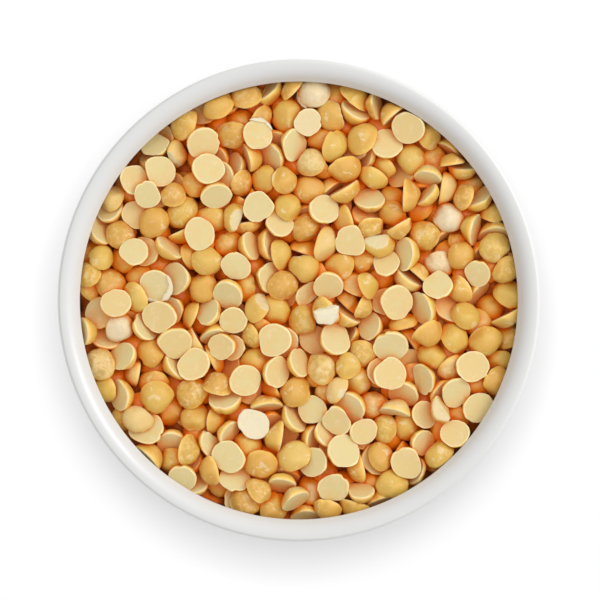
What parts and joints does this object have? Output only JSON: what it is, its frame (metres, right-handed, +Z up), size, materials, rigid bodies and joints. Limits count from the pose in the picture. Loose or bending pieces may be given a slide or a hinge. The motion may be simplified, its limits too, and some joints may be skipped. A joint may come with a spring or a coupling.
{
  "type": "dish of yellow split peas",
  "caption": "Small round white porcelain dish with a thick rolled lip and a foot ring, filled to just under the lip with dry yellow split peas.",
  "frame": {"origin": "centre of the foot ring, in the plane that the dish stands on", "axes": "+Z up, out of the dish's mouth; +X and +Y level, all sides alike"},
  "size_m": [0.112, 0.112, 0.048],
  "materials": {
    "porcelain": "glossy white glaze",
    "pea_flesh": null
  },
  "bodies": {
    "root": {"dish": "porcelain", "split_peas": "pea_flesh"}
  },
  "joints": []
}
